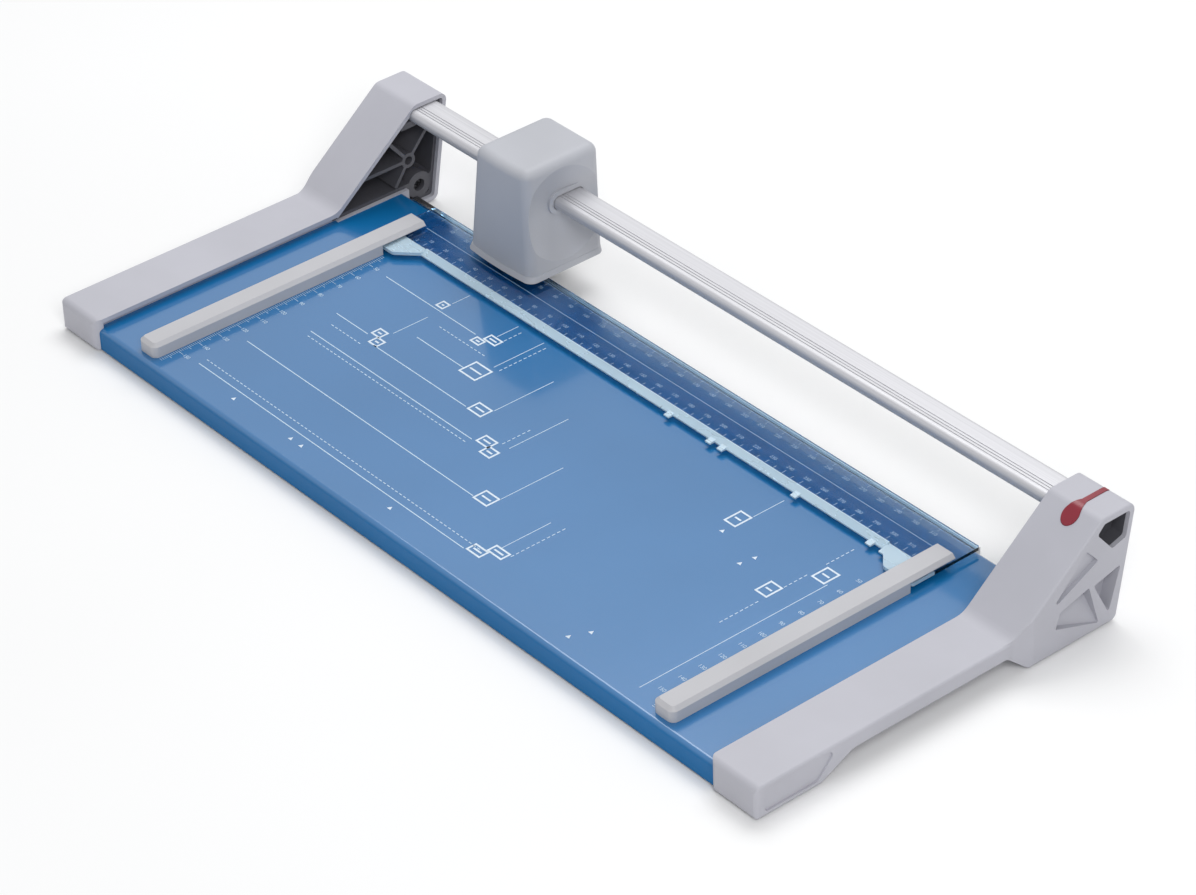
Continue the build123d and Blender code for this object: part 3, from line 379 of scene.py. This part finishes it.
# Lines across the table: x, front end, rear end
CROSS_LINES = (
    (-35.6, -80.5, -49.0),
    (-10.6, -93.0, -62.0),
    (-60.6, -60.5, -33.5),
    (-77.5, -45.0, -33.5),
    (-110.0, -43.0, -33.5),
    (-109.0, -75.5, -57.0),
    (14.4, -118.0, -85.5),
    (40.0, -138.0, -113.0),
    (90.6, -51.8, -35.5),
    (143.0, -155.5, -60.5),
)
CROSS_DOTTED = (
    (-15.0, -93.0, -75.5),
    (-57.0, -60.5, -33.5),
    (-73.0, -45.0, -33.5),
    (46.9, -139.0, -109.0),
    (133.0, -52.0, -35.5),
    (133.0, -74.0, -60.5),
    (133.0, -107.0, -85.5),
)
formats = Print("format_lines", 0.0, "base", pale_ink)
for y, left, end in LONG_LINES:
    formats.line_x(left, end, y, LINE)
for y, left, end in LONG_DOTTED:
    formats.dots_x(left, end, y)
for x, front, rear in CROSS_LINES:
    formats.line_y(x, front, rear, CROSS_LINE)
for x, front, rear in CROSS_DOTTED:
    formats.dots_y(x, front, rear)
formats.finish()

# Plain tiles at the corners of the formats: x, y, width, depth
TILES = (
    (-112.0, -46.5, 5.0, 5.0),
    (-76.5, -48.0, 8.0, 5.0),
    (-80.5, -53.0, 6.0, 4.5),
    (-63.5, -67.8, 11.0, 10.0),
    (-113.0, -79.5, 6.0, 5.5),
    (-108.5, -84.5, 6.0, 5.5),
    (-40.3, -84.2, 9.0, 7.0),
    (-20.5, -96.5, 8.0, 6.0),
    (-14.0, -100.5, 7.0, 6.0),
    (10.0, -121.4, 9.0, 7.5),
    (41.5, -140.6, 9.0, 5.5),
    (35.0, -146.0, 8.5, 5.5),
    (87.5, -57.1, 7.0, 9.5),
    (129.9, -79.0, 7.0, 9.0),
    (138.2, -57.0, 7.5, 9.0),
)
# Small triangles that point to the rear: x, y
TRIANGLES = (
    (-115.0, -153.6),
    (-76.0, -153.6),
    (-69.0, -153.6),
    (-10.6, -153.6),
    (111.2, -69.2),
    (110.0, -76.0),
    (105.0, -146.8),
    (101.2, -154.9),
    (89.4, -66.8),
)
TRIANGLE_HALF = 1.1
TRIANGLE_FRONT = 0.9
TRIANGLE_REAR = 1.1
tiles = Print("format_tiles", 0.0, "base", white_ink)
for x, y, width, depth in TILES:
    tiles.tile(x, y, width, depth)
for x, y in TRIANGLES:
    foot = y - TRIANGLE_FRONT
    tiles.shape([(x - TRIANGLE_HALF, foot), (x + TRIANGLE_HALF, foot), (x, y + TRIANGLE_REAR)])
tiles.finish()


def mark(k, long, middle, short):
    """The length of a scale's mark at millimetre k: long at tens, middle at fives."""
    if k % 10 == 0:
        return long
    return middle if k % 5 == 0 else short


# Scales beside the two bars, in millimetres forwards of the cutting line
SCALE_START = 42
SCALE_FIRST_FIGURE = 50
SCALE_END = 160
SCALE_INSET = 0.6
SCALE_LINE = 0.22
SCALE_MARKS = (4.2, 3.0, 1.8)
SCALE_FIGURES = 7.2
SCALE_FIGURE_SIZE = 2.6
scales = Print("side_scales", 0.0, "base", pale_ink)
for k in range(SCALE_START, SCALE_END):
    reach = mark(k, *SCALE_MARKS)
    scales.line_x(PAPER_LEFT + SCALE_INSET, PAPER_LEFT + SCALE_INSET + reach, -k, SCALE_LINE)
    scales.line_x(PAPER_RIGHT - SCALE_INSET - reach, PAPER_RIGHT - SCALE_INSET, -k, SCALE_LINE)
for k in range(SCALE_FIRST_FIGURE, SCALE_END, 10):
    scales.number(k, PAPER_LEFT + SCALE_FIGURES, -k, SCALE_FIGURE_SIZE)
    scales.number(k, PAPER_RIGHT - SCALE_FIGURES, -k, SCALE_FIGURE_SIZE)
scales.finish()

# Rulers on the clear strip: millimetres along its rear edge, half centimetres along its front
STRIP_TOP = (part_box("press_strip")[1].z - TABLE_TOP) / MM
RULER_LENGTH = int(PAPER_RIGHT - PAPER_LEFT)
RULER_REAR = -4.4
RULER_FRONT = -26.6
RULER_MARKS = (4.0, 3.0, 2.0)
REAR_MARK = 0.24
FRONT_MARK = 0.3
FRONT_MARK_SHARE = 0.6
FIGURE_ROWS = (-10.6, -22.0)
RULER_FIGURE_SIZE = 2.4
MIDDLE_LINE = -16.6
ruler = Print("strip_ruler", STRIP_TOP, "strip", faint_ink)
for k in range(RULER_LENGTH):
    reach = mark(k, *RULER_MARKS)
    ruler.line_y(PAPER_LEFT + k, RULER_REAR - reach, RULER_REAR, REAR_MARK)
    if k % 5 == 0:
        ruler.line_y(PAPER_LEFT + k, RULER_FRONT, RULER_FRONT + reach * FRONT_MARK_SHARE, FRONT_MARK)
for k in range(10, RULER_LENGTH, 10):
    for row in FIGURE_ROWS:
        ruler.number(k, PAPER_LEFT + k, row, RULER_FIGURE_SIZE)
ruler.line_x(PAPER_LEFT, PAPER_RIGHT, MIDDLE_LINE, FRONT_MARK)
ruler.finish()


# Lights, floor and camera
def lamp(name, place, size, power):
    """A soft rectangular lamp that looks at the middle of the object's stand."""
    data = bpy.data.lights.new(name, "AREA")
    data.shape = "RECTANGLE"
    data.size, data.size_y = size
    data.energy = power
    obj = put(name, data)
    obj.location = place
    obj.rotation_euler = (-Vector(place)).to_track_quat("-Z", "Y").to_euler()


lamp("key", place=(-0.5, 0.7, 1.7), size=(1.6, 1.2), power=22.0)
lamp("fill", place=(1.35, -0.75, 1.35), size=(0.8, 0.8), power=15.0)


def larger(world_nodes, links, a, b):
    """The larger of two values."""
    node = world_nodes.new("ShaderNodeMath")
    node.operation = "MAXIMUM"
    links.new(a, node.inputs[0])
    links.new(b, node.inputs[1])
    return node.outputs[0]


def seen_directly(world_nodes, links):
    """1 for rays from the camera, off glossy surfaces and through clear ones."""
    path = world_nodes.new("ShaderNodeLightPath").outputs
    seen = larger(world_nodes, links, path["Is Camera Ray"], path["Is Glossy Ray"])
    return larger(world_nodes, links, seen, path["Is Transmission Ray"])


# The world lights the object softly, and is plain white where it is seen
SOFT_LIGHT = 0.42
WHITE = 1.0
world = bpy.data.worlds.new("studio")
bpy.context.scene.world = world
world.use_nodes = True
world_nodes = world.node_tree.nodes
world_links = world.node_tree.links
soft = world_nodes["Background"]
soft.inputs["Color"].default_value = (0.98, 0.99, 1.0, 1)
soft.inputs["Strength"].default_value = SOFT_LIGHT
white = world_nodes.new("ShaderNodeBackground")
white.inputs["Color"].default_value = (1, 1, 1, 1)
white.inputs["Strength"].default_value = WHITE
mix = world_nodes.new("ShaderNodeMixShader")
world_links.new(seen_directly(world_nodes, world_links), mix.inputs["Fac"])
world_links.new(soft.outputs["Background"], mix.inputs[1])
world_links.new(white.outputs["Background"], mix.inputs[2])
world_links.new(mix.outputs["Shader"], world_nodes["World Output"].inputs["Surface"])

FLOOR_HALF = 6.0
FLOOR_CELLS = 8
floor_surface = Surface("floor_white")
floor_surface.tint(floor_surface.noise(scale=3.0, detail=2.0), (0.90, 0.90, 0.90), (0.92, 0.92, 0.92))
floor_surface.fix("Roughness", 0.9)
floor_surface.fix("Specular IOR Level", 0.0)
floor_mesh = bmesh.new()
bmesh.ops.create_grid(floor_mesh, x_segments=FLOOR_CELLS, y_segments=FLOOR_CELLS, size=FLOOR_HALF)
floor_data = bpy.data.meshes.new("floor")
floor_mesh.to_mesh(floor_data)
floor_mesh.free()
floor_data.materials.append(floor_surface.mat)
floor = put("floor", floor_data)

# Camera recovered from the photograph's vanishing points, for a frame of 1196 by 895
PHOTO_WIDTH = 1196
FOCAL_PIXELS = 4359.18
SENSOR = 36.0
NEAREST = 0.05
EYE = at(1131.5, -971.0, 1000.0)
RIGHT = Vector((0.64409, 0.76441, -0.02874))
UP = Vector((-0.42141, 0.38594, 0.82065))
BACK = Vector((0.63840, -0.51646, 0.57071))
lens = bpy.data.cameras.new("photo_camera")
lens.sensor_fit = "HORIZONTAL"
lens.sensor_width = SENSOR
lens.lens = FOCAL_PIXELS / PHOTO_WIDTH * SENSOR
lens.clip_start = NEAREST
camera = put("photo_camera", lens)
camera.matrix_world = Matrix.Translation(EYE) @ Matrix((RIGHT, UP, BACK)).transposed().to_4x4()
bpy.context.scene.camera = camera

bpy.context.scene.view_settings.view_transform = "Standard"
